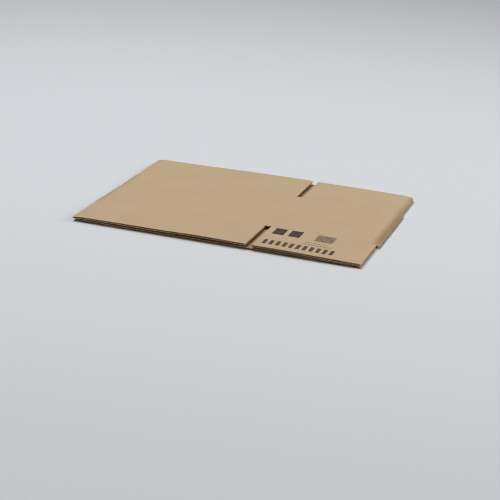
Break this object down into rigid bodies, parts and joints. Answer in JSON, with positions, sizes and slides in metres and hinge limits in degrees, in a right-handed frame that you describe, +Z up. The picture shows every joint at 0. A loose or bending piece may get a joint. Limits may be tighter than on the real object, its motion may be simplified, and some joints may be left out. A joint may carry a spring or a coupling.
{
  "type": "flattened cardboard box",
  "caption": "Corrugated slotted shipping box folded flat, with its side seam glued, two creased layers, slotted end flaps and open flutes on the long edges.",
  "frame": {"origin": "middle of the underside, on the surface that the flattened box lies on", "axes": "+X along the long edges, from the left fold to the right fold, +Y from the front flaps' open edge to the back flaps' open edge, along the flutes, +Z up, out of the upper layer"},
  "size_m": [0.4, 0.28, 0.0082],
  "materials": {
    "kraft_board": "matte"
  },
  "bodies": {
    "root": {"flattened_box": "kraft_board"}
  },
  "joints": []
}
